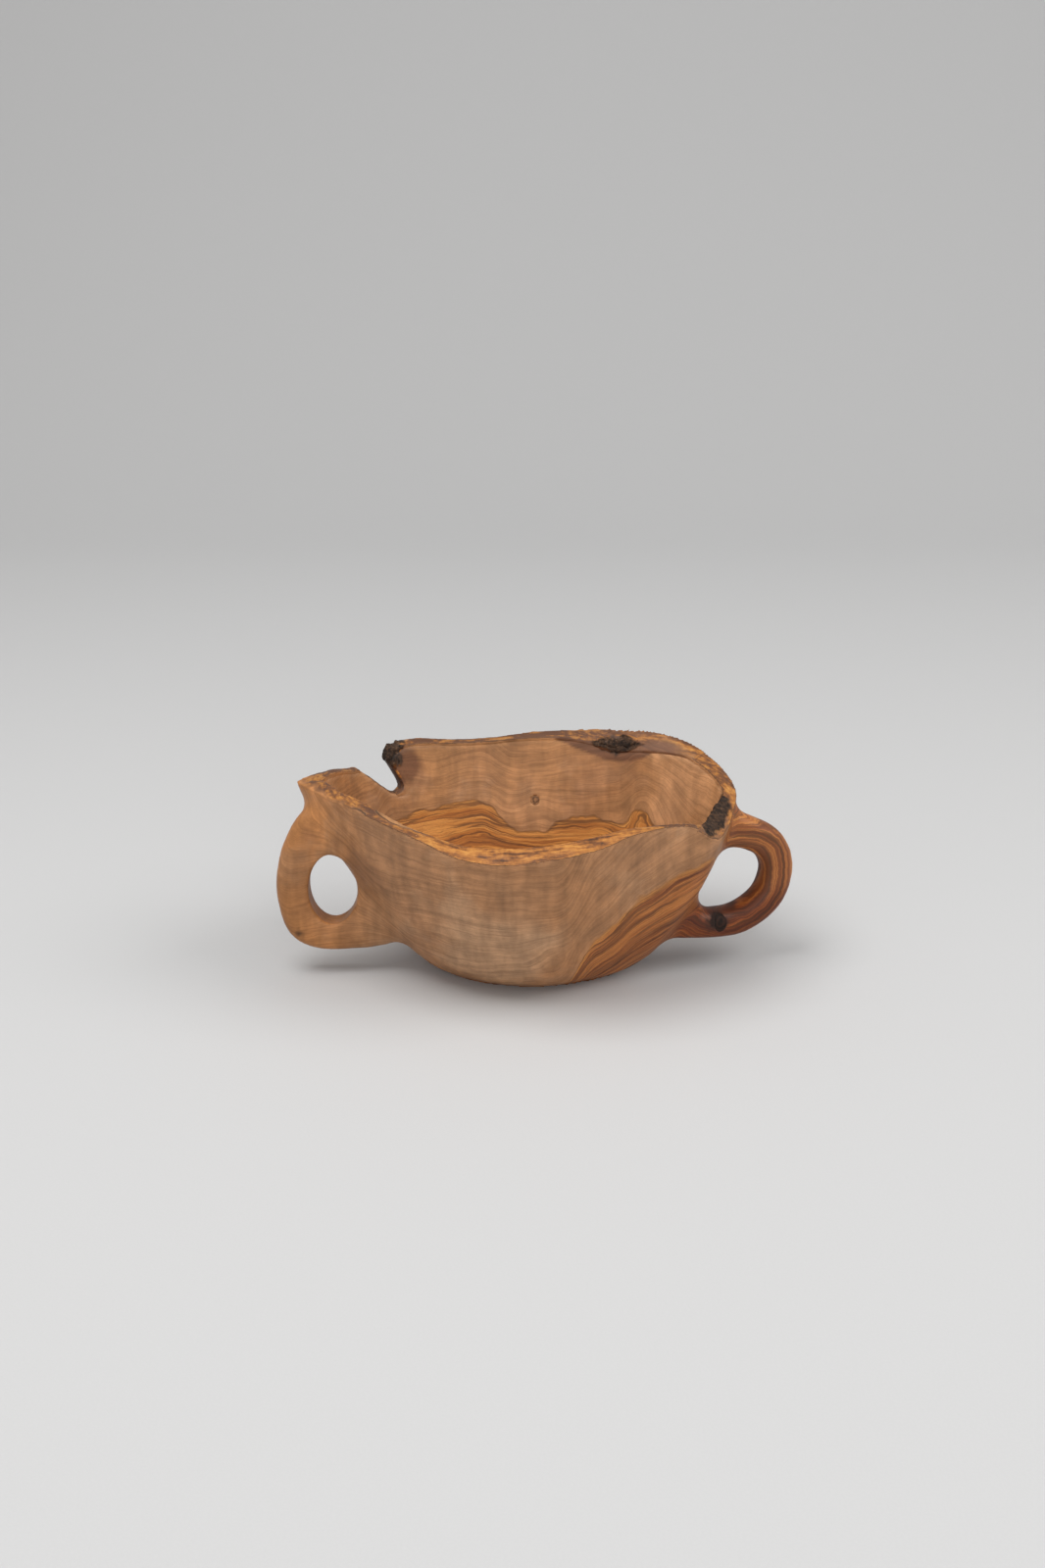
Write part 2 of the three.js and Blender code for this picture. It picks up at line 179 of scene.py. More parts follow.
# Round patches of colour: the middle, the reach and the strength of each
BROWN_AND_SHADE_PATCHES = [
    ((-92, 70, 117), 21, 0.95),
    ((-128, 32, 116), 26, 0.3),
    # Partly painted shade: the inner wall of the left lobe, turned away from the light
    ((-100, 42, 95), 30, 0.25),
    # Partly painted shade: the hollow beside the left finger hole, over a dark stain there
    ((-112, -32, 82), 24, 0.35),
    ((-147, -18, 100), 9, 0.35),
]
PALE_AND_LIT_PATCHES = [
    ((-25, -70, 38), 52, 0.9),
    # Partly painted light: the inner wall at the right end, brighter where the light falls, over golden
    # sapwood
    ((105, 56, 110), 42, 0.85),
    ((-2, 76, 84), 26, 0.4),
]
DARK_SPOTS = [
    ((122, -6, 36), 11, 1.0),
    ((134, -8, 40), 5, 0.7),
    ((-156, -18, 30), 5, 0.7),
]
PATCH_FADE = (0.35, 1)

# The ragged border of a patch, with its sizes as shares of the patch's reach
PATCH_FRAY = [(0.5, 0.35, 32), (0.2, 0.2, 33)]

# The rim's inner bark by degrees round the middle: its darkness, and its two borders across the rim
BAST_DARKNESS = [
    (0, 0.25), (30, 0.5), (65, 0.5), (72, 0.95), (84, 1), (114, 1), (126, 0.6), (136, 1),
    (165, 1), (180, 0.8), (190, 0.6), (200, 0.3), (208, 0.6), (220, 0.6), (232, 0.4), (248, 0.1),
    (292, 0.1), (303, 0.3), (312, 0.9), (330, 0.9), (342, 0.4),
]
BAST_BORDERS = [
    (0, -0.5, 1), (24, -0.5, 0.95), (39, -0.5, 0.85), (47, -0.5, 0.68), (53, -0.5, 0.6), (58, -0.5, 0.7),
    (63, -0.5, 1), (70, -0.5, 1.1), (84, -0.5, 0.8), (114, -0.5, 0.75), (124, -0.5, 1), (136, -0.5, 0.9),
    (160, -0.5, 1), (172, 0.3, 1.5), (209, 0.3, 1.5), (215, 0.3, 0.7), (221, -0.5, 0.4), (233, -0.5, 0.6),
    (246, -0.5, 1.1), (292, -0.5, 1.1), (312, -0.5, 0.8), (330, -0.5, 0.7),
]
BAST_SOFTNESS = 0.12
BAST_FRAY = [(8, 0.08, 36), (2.5, 0.04, 38)]
BAST_TOP_FRAY = 0.5

# Outer bark in the rim: its place, its heading in plan, half its length and width, its top and its drop
RIGHT_CRUST = {
    "x": 118, "y": -14, "heading": 77, "half_length": 36, "half_width": 9, "top": 113, "drop": 16,
}
BACK_CRUST = {
    "x": 57, "y": 87.5, "heading": 172, "half_length": 19, "half_width": 6, "top": 129, "drop": 14,
}
CRUST_FADE = (0.75, 1.05)
CRUST_FRAY = [(7, 0.3, 33), (2.5, 0.18, 34)]

# The notch in the back wall
NOTCH_PLACE = (-104, 66, 108)
NOTCH_FADE = (20.8, 26)
NOTCH_HEADING = 129
NOTCH_FACING = (0.45, 0.75)
NOTCH_FRAY = [(8, 4, 37)]
NOTCH_STAIN = 0.8
NOTCH_DARKNESS = 0.7

# Bark on the horn beside the notch: outer bark at its end, and a band of inner bark below
HORN_BACK = (55, 60)
HORN_CRUST_X = (-90, -91)
HORN_CRUST_X_FRAY = [(4, 3, 39)]
HORN_CRUST_HEIGHT = (116, 121)
HORN_CRUST_HEIGHT_FRAY = [(5, 2, 35)]
HORN_BAND_X = (-89, -92)
HORN_BAND_BOTTOM = (110, 113)
HORN_BAND_FRAY = 4

# Camera and studio, in metres, degrees and watts, with the lens and its frame in millimetres
CAMERA_PLACE = (-0.0079, -1.3409, 0.6184)
CAMERA_PITCH = 70
LENS = 50
SENSOR = 36
SWEEP_FRONT = -4.0
SWEEP_BACK = 2.6
SWEEP_RADIUS = 1.4
SWEEP_STEPS = 24
SWEEP_TOP = 4.5
SWEEP_HALF_WIDTH = 5.0
SKY_COLOR = (1.0, 0.99, 0.98)
SKY_STRENGTH = 0.56
LIGHTS = [
    {"name": "key_light", "spot": (-0.7, -0.3, 1.9), "target": (0, 0, 0.06), "size": 1.3, "power": 24},
    {"name": "side_light", "spot": (1.7, -0.3, 1.7), "target": (0.2, 0.2, 0.06), "size": 1.6, "power": 24},
    {"name": "front_light", "spot": (0.3, -2.4, 0.7), "target": (0, 0, 0.06), "size": 1.2, "power": 14},
]


# Numbers at points

def ease(value, start, end):
    """0 before start, 1 after end, and a smooth step between them. End may lie below start."""
    t = np.clip((value - start) / (end - start), 0, 1)
    return t * t * (3 - 2 * t)


def noise(points, size, seed):
    """Smooth noise from -1 to 1 with features of that size, at each point."""
    table = np.random.default_rng(seed).uniform(-1, 1, (NOISE_CELLS,) * 3)
    cells = points / size
    base = np.floor(cells).astype(int)
    t = cells - base
    t = t * t * (3 - 2 * t)
    total = np.zeros(len(points))
    for corner in itertools.product((0, 1), repeat=3):
        x, y, z = ((base + corner) % NOISE_CELLS).T
        total += table[x, y, z] * np.prod(np.where(corner, t, 1 - t), axis=1)
    return total


def layered(points, layers, seed_shift=0):
    """Layers of noise, added up."""
    return sum(depth * noise(points, size, seed + seed_shift) for size, depth, seed in layers)


# Meshes as arrays, in millimetres

def points_of(mesh):
    flat = np.empty(3 * len(mesh.vertices))
    mesh.vertices.foreach_get("co", flat)
    return flat.reshape(-1, 3) / MM


def normals_of(mesh):
    flat = np.empty(3 * len(mesh.vertices))
    mesh.vertex_normals.foreach_get("vector", flat)
    return flat.reshape(-1, 3)


def place(mesh, points):
    mesh.vertices.foreach_set("co", (points * MM).ravel())
    mesh.update()


def set_field(mesh, name, values):
    field = mesh.attributes.new(name, "FLOAT", "POINT")
    field.data.foreach_set("value", np.asarray(values, np.float32))


def joined(meshes):
    """The points and the faces of several meshes as one."""
    points, faces = [], []
    for mesh in meshes:
        faces += [tuple(i + len(points) for i in polygon.vertices) for polygon in mesh.polygons]
        points += list(points_of(mesh))
    return points, faces


def tree_of(meshes):
    """A search tree over several meshes, in millimetres."""
    points, faces = joined(meshes)
    return BVHTree.FromPolygons([Vector(p) for p in points], faces)


def distances(points, tree):
    return np.array([tree.find_nearest(Vector(p))[3] for p in points])


def merged_mesh(name, meshes):
    points, faces = joined(meshes)
    merged = bpy.data.meshes.new(name)
    merged.from_pydata([tuple(p * MM) for p in points], [], faces)
    return merged


class Web:
    """Which points of a mesh are joined by an edge."""

    def __init__(self, mesh):
        flat = np.empty(2 * len(mesh.edges), int)
        mesh.edges.foreach_get("vertices", flat)
        ends = flat.reshape(-1, 2)
        self.here = np.concatenate([ends[:, 0], ends[:, 1]])
        self.there = np.concatenate([ends[:, 1], ends[:, 0]])
        self.size = len(mesh.vertices)
        self.count = np.maximum(np.bincount(self.here, minlength=self.size), 1)[:, None]

    def pull(self, points):
        """From each point to the mean of those joined to it."""
        axes = [np.bincount(self.here, points[self.there, k], self.size) for k in range(3)]
        return np.stack(axes, axis=1) / self.count - points


def smooth(mesh, steps):
    """Evens out facets without shrinking the form."""
    web = Web(mesh)
    points = points_of(mesh)
    for _ in range(steps):
        points += SMOOTH_IN * web.pull(points)
        points -= SMOOTH_OUT * web.pull(points)
    place(mesh, points)


def fill_hollows(mesh, weights, steps):
    """Fills creases with a rounded fillet and leaves what bulges as it is."""
    web = Web(mesh)
    points = points_of(mesh)
    for step in range(steps):
        if step % NORMALS_EVERY == 0:
            place(mesh, points)
            normals = normals_of(mesh)
        pull = web.pull(points)
        lift = np.sum(pull * normals, axis=1)
        slide = pull - lift[:, None] * normals
        move = slide + np.maximum(lift, 0)[:, None] * normals
        points += FILLET_PACE * weights[:, None] * move
    place(mesh, points)


# Pieces made from the frame

def new_object(name, mesh):
    obj = bpy.data.objects.new(name, mesh)
    bpy.context.scene.collection.objects.link(obj)
    return obj


def seated_copy(nodes, name):
    """A copy of a node's mesh whose seats reach into the pieces they rest on."""
    mesh = nodes[name].data.copy()
    others = tree_of([node.data for other, node in nodes.items() if other != name])
    points = points_of(mesh)
    for i, point in enumerate(points):
        near, _, _, distance = others.find_nearest(Vector(point), SEAT_REACH)
        if near is not None and distance > 0:
            points[i] += (np.array(near) - point) * (1 + SEAT_OVERLAP / distance)
    place(mesh, points)
    return mesh


def baked(obj):
    """Replaces an object's mesh by what its modifiers make of it."""
    graph = bpy.context.evaluated_depsgraph_get()
    made = bpy.data.meshes.new_from_object(obj.evaluated_get(graph))
    obj.modifiers.clear()
    obj.data = made
    return made


def drop_strays(mesh):
    """Deletes the bits that remeshing leaves beside the main piece."""
    work = bmesh.new()
    work.from_mesh(mesh)
    seen = set()
    islands = []
    for start in work.verts:
        if start in seen:
            continue
        seen.add(start)
        island = [start]
        for vert in island:
            fresh = [edge.other_vert(vert) for edge in vert.link_edges]
            fresh = [other for other in fresh if other not in seen]
            seen.update(fresh)
            island += fresh
        islands.append(island)
    islands.sort(key=len)
    bmesh.ops.delete(work, geom=list(itertools.chain(*islands[:-1])), context="VERTS")
    work.to_mesh(mesh)
    work.free()


def remeshed(name, meshes, voxel):
    """One closed even mesh round several solids."""
    obj = new_object(name, merged_mesh(name, meshes))
    remesh = obj.modifiers.new("remesh", "REMESH")
    remesh.mode = "VOXEL"
    remesh.voxel_size = voxel * MM
    remesh.use_smooth_shade = True
    drop_strays(baked(obj))
    return obj


def weld(mesh):
    """Joins points that lie on each other, and deletes thin flaps that hang on by one edge."""
    work = bmesh.new()
    work.from_mesh(mesh)
    bmesh.ops.remove_doubles(work, verts=work.verts, dist=WELD * MM)
    bmesh.ops.triangulate(work, faces=[face for face in work.faces if len(face.verts) > 4])
    flaps = [face for face in work.faces if any(edge.is_boundary for edge in face.edges)]
    bmesh.ops.delete(work, geom=flaps, context="FACES")
    work.to_mesh(mesh)
    work.free()


def boolean(obj, cutter, operation):
    cut = obj.modifiers.new("cut", "BOOLEAN")
    cut.operation = operation
    cut.solver = "MANIFOLD"
    cut.object = cutter
    weld(baked(obj))


def inside_hollow(points, normals, handle_distance):
    """1 on the side of the wall that faces into the bowl."""
    plan = points[:, :2] / np.maximum(np.linalg.norm(points[:, :2], axis=1), 1)[:, None]
    inward = -np.sum(plan * normals[:, :2], axis=1)
    floor = (normals[:, 2] > FLOOR_FACING) & (points[:, 2] < FLOOR_TOP)
    return np.where((inward > 0) | floor, 1.0, 0.0) * ease(handle_distance, *HANDLE_CLEAR)


def rounded_line(x, line):
    """The height of a line of straight pieces at x, with its corners rounded."""
    return np.mean([np.interp(x + shift, *zip(*line)) for shift in HEART_ROUNDING], axis=0)


def height_over(points, right_end, back_top):
    """Height of the heartwood's top over each point, blended from the front wall to the back wall."""
    x, y, z = points.T
    front_top = rounded_line(x, FRONT_HEART_TOP)
    height = front_top + (back_top - front_top) * ease(y, *FRONT_TO_BACK) - z
    loop = RIGHT_LOOP_DEPTH + np.hypot(x - RIGHT_LOOP[0], z - RIGHT_LOOP[1])
    return height + (loop - height) * right_end


def heart_field(points, inside, right_end):
    """How far each point lies inside the heartwood."""
    back_top = rounded_line(points[:, 0], BACK_HEART_TOP)
    sapwood = LEFT_SAPWOOD_DEPTH * ease(points[:, 0], *LEFT_SAPWOOD) * (1 - inside)
    return height_over(points, right_end, back_top) - sapwood + layered(points, HEART_FRAY)


def ring_field(points, right_end):
    """A number that is the same along each growth ring."""
    rise = rounded_line(points[:, 0], BACK_HEART_TOP) - BACK_RING_HEIGHT
    back_top = BACK_RING_HEIGHT + HILL_RINGS * np.maximum(rise, 0) * ease(points[:, 2], *HILL_FADE)
    rings = height_over(points, right_end, back_top)
    for centre, reach, height in EYES:
        away = np.sum((points - centre) ** 2, axis=1)
        rings += height * np.exp(-away / (2 * reach * reach))
    return rings + layered(points, RING_WARP)


def notch_field(points, normals):
    """1 on the cut faces of the notch."""
    away = np.linalg.norm(points - NOTCH_PLACE, axis=1) + layered(points, NOTCH_FRAY)
    turn = math.radians(NOTCH_HEADING)
    through = np.abs(normals[:, :2] @ (math.cos(turn), math.sin(turn)))
    return (1 - ease(away, *NOTCH_FADE)) * (1 - ease(through, *NOTCH_FACING))


def patches(points, places):
    """The strength of several round ragged patches."""
    total = np.zeros(len(points))
    for centre, reach, strength in places:
        ragged = layered(points, [(share * reach, depth, seed) for share, depth, seed in PATCH_FRAY])
        away = np.linalg.norm(points - centre, axis=1) / reach + ragged
        total = np.maximum(total, strength * (1 - ease(away, *PATCH_FADE)))
    return total


def stain_and_shade_field(points, inside):
    """The strength of the stain under the back rim and of the brown patches, two of which are partly
    painted shade.
    """
    height = points[:, 2] - rounded_line(points[:, 0], STAIN_BOTTOM) + layered(points, STAIN_FRAY)
    stain = inside * ease(height, *STAIN_FADE) * (points[:, 1] > 0)
    return np.maximum(stain, patches(points, BROWN_AND_SHADE_PATCHES))


def lens(points, x, y, heading, half_length, half_width, top, drop):
    """1 inside a pointed oval on the rim, 0 outside it, with a ragged border."""
    turn = math.radians(heading)
    below = np.maximum(top - points[:, 2], 0) / drop
    plan = points[:, :2] - (x, y)
    along = (plan @ (math.cos(turn), math.sin(turn))) / half_length
    across = (plan @ (-math.sin(turn), math.cos(turn))) / half_width
    ragged = layered(points, CRUST_FRAY)
    return 1 - ease(np.abs(across) + along * along + below + ragged, *CRUST_FADE)


def crust_field(points, sides):
    """1 where outer bark covers the rim: all round the horn, elsewhere on the given sides."""
    x, y, z = points.T
    horn = ease(x - layered(points, HORN_CRUST_X_FRAY), *HORN_CRUST_X)
    horn *= ease(z + layered(points, HORN_CRUST_HEIGHT_FRAY), *HORN_CRUST_HEIGHT)
    horn *= ease(y, *HORN_BACK)
    lodged = np.maximum(lens(points, **RIGHT_CRUST), lens(points, **BACK_CRUST))
    return np.maximum(horn, sides * lodged)


def round_hole(mesh):
    """Moves the sides of the left finger hole towards an oval."""
    points = points_of(mesh)
    normals = normals_of(mesh)
    away = points - LEFT_HOLE
    radius = np.hypot(away[:, 0] / LEFT_HOLE_HALF[0], away[:, 2] / LEFT_HOLE_HALF[1])
    length = np.maximum(np.hypot(away[:, 0], away[:, 2]), 1)
    inward = -away / length[:, None]
    inward[:, 1] = 0
    gap = length * (1 - 1 / np.maximum(radius, 0.1))
    weight = ease(np.sum(normals * inward, axis=1), *HOLE_FACING) * (1 - ease(radius, *HOLE_REACH))
    weight *= 1 - ease(np.abs(away[:, 1]), *HOLE_DEPTH)
    place(mesh, points + (weight * np.clip(gap, -HOLE_CUT, HOLE_FILL))[:, None] * inward)


def shifted(points):
    """Points moved by the local changes of form."""
    moved = np.array(points)
    for centre, reach, move in SHIFTS:
        away = np.sum((points - centre) ** 2, axis=1)
        moved += np.exp(-away / (reach * reach))[:, None] * move
    return moved


def root_field(nodes, mesh):
    """1 at the roots of the handles, outside the hollow, and 0 away from them."""
    points = points_of(mesh)
    handles = tree_of([nodes[name].data for name in HANDLE_NODES])
    body = tree_of([nodes["bowl_body"].data])
    handle_distance = distances(points, handles)
    inside = inside_hollow(points, normals_of(mesh), handle_distance)
    away = np.maximum(handle_distance, distances(points, body))
    return (1 - ease(away, *FILLET_FADE)) * (1 - inside)


def fillet_core(nodes, seated):
    """A coarse body that only shows where it fills the corners at the handles' roots."""
    core = remeshed("fillet_core", [seated[name] for name in WOOD_NODES], CORE_VOXEL)
    mesh = core.data
    root = root_field(nodes, mesh)
    fill_hollows(mesh, root, CORE_FILLET_STEPS)
    sunk = CORE_SUNK * (1 - CORE_ROOT_RAISE * root)
    place(mesh, points_of(mesh) - sunk[:, None] * normals_of(mesh))
    bpy.data.objects.remove(core)
    return mesh


def carved_wood(nodes, seated):
    """The wall, the foot and both handles as one carved piece."""
    solids = [*seated.values(), fillet_core(nodes, seated)]
    wood = remeshed("carved_wood", solids, WOOD_VOXEL)
    mesh = wood.data
    smooth(mesh, WOOD_SMOOTHING)
    round_hole(mesh)
    smooth(mesh, HOLE_SMOOTHING)
    fill_hollows(mesh, root_field(nodes, mesh), FILLET_STEPS)
    points = points_of(mesh)
    normals = normals_of(mesh)
    rim = tree_of([nodes[name].data for name in EDGE_NODES + BARK_NODES])
    under_rim = 1 - ease(distances(points, rim), *WOOD_SUNK_FADE)
    sunk = WOOD_SUNK * under_rim * ease(normals[:, 2], *SUNK_FACING)
    points += (layered(points, CARVING) - sunk)[:, None] * normals
    foot = (normals[:, 2] < FOOT_FACING) & (points[:, 2] < FOOT_TOP)
    points[:, 2] = np.where(foot, 0, np.maximum(points[:, 2], 0))
    place(mesh, shifted(points))
    return wood


def rim_share(nodes, points):
    """How far each point lies across the rim, from 0 at its outside to 1 at its inside."""
    body = nodes["bowl_body"].data
    sides = {True: [], False: []}
    for polygon in body.polygons:
        plan = polygon.center.to_2d().normalized()
        inward = -plan.dot(polygon.normal.to_2d())
        if abs(inward) > WALL_FACING:
            sides[inward > 0].append(tuple(polygon.vertices))
    corners = [Vector(p) for p in points_of(body)]
    inner = distances(points, BVHTree.FromPolygons(corners, sides[True]))
    outer = distances(points, BVHTree.FromPolygons(corners, sides[False]))
    return outer / np.maximum(inner + outer, 0.1)


def bast_fields(nodes, points, normals):
    """Where inner bark lies on the rim, how dark it is there, and the stain on its inner side."""
    turn = np.degrees(np.arctan2(points[:, 1] / RIM_WIDTH, points[:, 0] / RIM_LENGTH))
    ragged = layered(points, BAST_FRAY)
    turns, outer, inner = zip(*BAST_BORDERS)
    outer = np.interp(turn, turns, outer, period=360)
    inner = np.interp(turn, turns, inner, period=360)
    share = rim_share(nodes, points) + ragged
    beyond = ease(share, inner - BAST_SOFTNESS, inner + BAST_SOFTNESS)
    cover = ease(share, outer - BAST_SOFTNESS, outer + BAST_SOFTNESS) * (1 - beyond)
    top = ease(normals[:, 2] + BAST_TOP_FRAY * ragged, *BAST_FACING)
    darkness = np.interp(turn, *zip(*BAST_DARKNESS), period=360)
    x, y, z = points.T
    band = ease(x, *HORN_BAND_X) * ease(y, *HORN_BACK)
    band *= ease(z + HORN_BAND_FRAY * ragged, *HORN_BAND_BOTTOM)
    start, end = RIM_STAIN_FADE
    stain = beyond * (1 - ease(share, inner + start, inner + end))
    stain *= np.interp(turn % 360, *zip(*RIM_STAIN))
    return np.maximum(cover * top, band), darkness * (1 - band), stain


def paint(nodes, obj, bast):
    """Fields that the materials read: the figure of the wood, the share of inner and outer bark, and the
    painted shade and painted light that some of them carry.
    """
    mesh = obj.data
    points = points_of(mesh)
    normals = normals_of(mesh)
    handles = tree_of([nodes[name].data for name in HANDLE_NODES])
    handle_distance = distances(points, handles)
    inside = inside_hollow(points, normals, handle_distance)
    x, y, z = points.T
    right_end = ease(x, *RIGHT_LOOP_START) * (1 - ease(handle_distance, *RIGHT_LOOP_REACH)) * (1 - inside)
    crust = crust_field(points, np.maximum(inside, bast))
    notch = notch_field(points, normals) * (1 - crust)
    cover, darkness, rim_stain = bast_fields(nodes, points, normals)
    # Stains and brown patches, two of the patches partly painted shade
    stain = np.maximum(stain_and_shade_field(points, inside), NOTCH_STAIN * notch)
    set_field(mesh, "rings", ring_field(points, right_end))
    set_field(mesh, "heart", heart_field(points, inside, right_end))
    set_field(mesh, "inside", inside)
    set_field(mesh, "stain", np.maximum(stain, bast * rim_stain))
    set_field(mesh, "left_end", ease(x, *LEFT_END))
    set_field(mesh, "right_end", right_end)
    # Painted shade: the lower arm of the right handle, darker towards its bottom
    set_field(mesh, "right_arm_shade", right_end * ease(z, *RIGHT_ARM_SHADE_HEIGHT))
    set_field(mesh, "bast", bast * cover)
    set_field(mesh, "darkness", darkness)
    set_field(mesh, "spots", np.maximum(patches(points, DARK_SPOTS), NOTCH_DARKNESS * notch))
    # Patches of whiter sapwood, one of them partly painted light
    set_field(mesh, "pale_and_lit", patches(points, PALE_AND_LIT_PATCHES))
    set_field(mesh, "crust", crust)
    set_field(mesh, "along", RIM_RADIUS * np.arctan2(y / RIM_WIDTH, x / RIM_LENGTH))
    set_field(mesh, "across", RIM_RADIUS * np.hypot(x / RIM_LENGTH, y / RIM_WIDTH))


def rough_piece(name, mesh, voxel, seed_shift):
    """A piece of live edge or bark: an even mesh, a little proud, with a rough surface."""
    obj = remeshed(name, [mesh], voxel)
    smooth(obj.data, RIM_SMOOTHING)
    points = points_of(obj.data)
    normals = normals_of(obj.data)
    top = ease(normals[:, 2], *SKIN_FACING)
    outward = np.sum(points[:, :2] * normals[:, :2], axis=1) / np.linalg.norm(points[:, :2], axis=1)
    crust = crust_field(points, 1 - ease(outward, *OUTSIDE_FACING))
    height = SKIN_PROUD + top * layered(points, BAST_ROUGHNESS, seed_shift)
    height -= SKIRT_SUNK * (1 - ease(normals[:, 2], *SKIRT_FACING)) * (1 - crust)
    height += crust * (CRUST_PROUD + layered(points, CRUST_ROUGHNESS, seed_shift))
    move = height[:, None] * normals
    web = Web(obj.data)
    for _ in range(RIM_SETTLING):
        move += SMOOTH_IN * (1 - crust)[:, None] * web.pull(move)
    place(obj.data, shifted(points + move))
    return obj


def grown_copy(mesh, growth):
    """A closed copy of a mesh, grown all round."""
    copy = mesh.copy()
    weld(copy)
    place(copy, points_of(copy) + growth * normals_of(copy))
    return copy


def knot_piece(name, node, wood):
    """A knot cut out of the carved wood, with a hairline round it."""
    cutter = new_object(name + "_cutter", grown_copy(node.data, KNOT_GROWTH))
    centre = points_of(cutter.data).mean(axis=0)
    knot = new_object(name, wood.data.copy())
    boolean(knot, cutter, "INTERSECT")
    cutter.data = grown_copy(node.data, KNOT_GROWTH + KNOT_GAP)
    boolean(wood, cutter, "DIFFERENCE")
    bpy.data.objects.remove(cutter)
    set_field(knot.data, "radius", np.linalg.norm(points_of(knot.data) - centre, axis=1))
    return knot


# Materials

class Shader:
    """A material's nodes. Each method adds a node and returns its output."""

    def __init__(self, name):
        self.material = bpy.data.materials.new(name)
        self.material.use_nodes = True
        self.tree = self.material.node_tree
        self.surface = self.tree.nodes["Principled BSDF"]
        self.place = self.add("ShaderNodeTexCoord").outputs["Object"]

    def add(self, kind, **settings):
        node = self.tree.nodes.new(kind)
        for key, value in settings.items():
            setattr(node, key, value)
        return node

    def feed(self, socket, value):
        if isinstance(value, bpy.types.NodeSocket):
            self.tree.links.new(value, socket)
        else:
            socket.default_value = value

    def math(self, operation, *values):
        node = self.add("ShaderNodeMath", operation=operation)
        for socket, value in zip(node.inputs, values):
            self.feed(socket, value)
        return node.outputs[0]

    def field(self, name):
        return self.add("ShaderNodeAttribute", attribute_name=name).outputs["Fac"]

    def noise(self, vector, scale, detail=3.0, roughness=0.55):
        node = self.add("ShaderNodeTexNoise")
        self.feed(node.inputs["Vector"], vector)
        node.inputs["Scale"].default_value = scale
        node.inputs["Detail"].default_value = detail
        node.inputs["Roughness"].default_value = roughness
        return node.outputs["Fac"]

    def stretched(self, scales):
        node = self.add("ShaderNodeMapping")
        self.feed(node.inputs["Vector"], self.place)
        node.inputs["Scale"].default_value = scales
        return node.outputs[0]

    def vector(self, x, y, z):
        node = self.add("ShaderNodeCombineXYZ")
        for socket, value in zip(node.inputs, (x, y, z)):
            self.feed(socket, value)
        return node.outputs[0]

    def axis(self, name):
        node = self.add("ShaderNodeSeparateXYZ")
        self.feed(node.inputs[0], self.place)
        return node.outputs[name]

    def span(self, value, start, end, low=0.0, high=1.0):
        node = self.add("ShaderNodeMapRange", interpolation_type="SMOOTHSTEP")
        for socket, given in zip(node.inputs, (value, start, end, low, high)):
            self.feed(socket, given)
        return node.outputs[0]

    def ramp(self, value, stops):
        node = self.add("ShaderNodeValToRGB")
        self.feed(node.inputs[0], value)
        elements = node.color_ramp.elements
        while len(elements) < len(stops):
            elements.new(0.5)
        for element, (position, color) in zip(elements, stops):
            element.position = position
            element.color = (*color, 1)
        return node.outputs[0]

    def mix(self, share, a, b, blend="MIX"):
        node = self.add("ShaderNodeMix", data_type="RGBA", blend_type=blend)
        self.feed(node.inputs[0], share)
        for socket, color in zip((node.inputs[6], node.inputs[7]), (a, b)):
            self.feed(socket, color if isinstance(color, bpy.types.NodeSocket) else (*color, 1))
        return node.outputs[2]

    def shade(self, color, value):
        """A colour made darker or lighter by a number near 1."""
        node = self.add("ShaderNodeVectorMath", operation="SCALE")
        self.feed(node.inputs[0], color)
        self.feed(node.inputs["Scale"], value)
        return node.outputs[0]

    def bump(self, height, depth, normal=None):
        node = self.add("ShaderNodeBump")
        node.inputs["Distance"].default_value = depth * MM
        self.feed(node.inputs["Height"], height)
        if normal:
            self.feed(node.inputs["Normal"], normal)
        return node.outputs[0]

    def finish(self, color, roughness, normal, specular):
        self.feed(self.surface.inputs["Base Color"], color)
        self.feed(self.surface.inputs["Roughness"], roughness)
        self.feed(self.surface.inputs["Normal"], normal)
        self.surface.inputs["Specular IOR Level"].default_value = specular
        return self.material


# Shine, with roughness from one end of a pattern to the other, and bumps in millimetres
WOOD_SPECULAR = 0.3
DULL_SPECULAR = 0.2
WOOD_ROUGHNESS = (0.54, 0.44)
SPOT_ROUGHNESS = 0.85
RIM_ROUGHNESS = (0.55, 0.9)
KNOT_ROUGHNESS = (0.75, 0.6)
PAPER_ROUGHNESS = (0.65, 0.75)
FIBRE_BUMP = 0.05
STREAK_BUMP = 0.08
BAST_BUMP = 0.6
CRUST_BUMP = 1.5
KNOT_BUMP = 0.05
PAPER_BUMP = 0.02

# The wood's grain: scales of stretched noise along x, y and z, growth rings, and lines along them
FRAY_SCALES = (60, 160, 160)
FRAY_DEPTH = 3.0
FIBRE_SCALES = (140, 1500, 1500)
RIPPLE_SCALES = (130, 50, 24)
RING_SCALE = 0.32
RING_DRIFT = 9.0
BOLD_LINES = {"scale": 0.9, "start": 0.013, "end": 0.052, "strength": 1.0}
FINE_LINES = {"scale": 2.7, "start": 0.012, "end": 0.05, "strength": 0.5}
HEART_LINES = 0.75

# Strengths outside and inside the bowl, and the border of the heartwood in millimetres from its middle
RED_HEART = (0.75, 0.0)
SAP_LINES = (0.22, 0.26)
BORDER_LINE = (0.2, 0.55)
BORDER_START = (-1.8, -0.6)
BORDER_END_SHARE = -1.3
BORDER_LINE_PLACE = 0.4
STAIN_STRENGTH = 0.95

# Inner bark: scales along the rim, across it and upwards, and the share of grains
BAST_SCALES = (0.055, 0.26, 260.0)
BAST_GRAINS = 0.3
BAST_SHADE = 0.15
BAST_LINE_PLACE = 0.3

# Outer bark: shares of lumps and specks
CRUST_LUMPS = 0.65
CRUST_SPECKS = 0.35

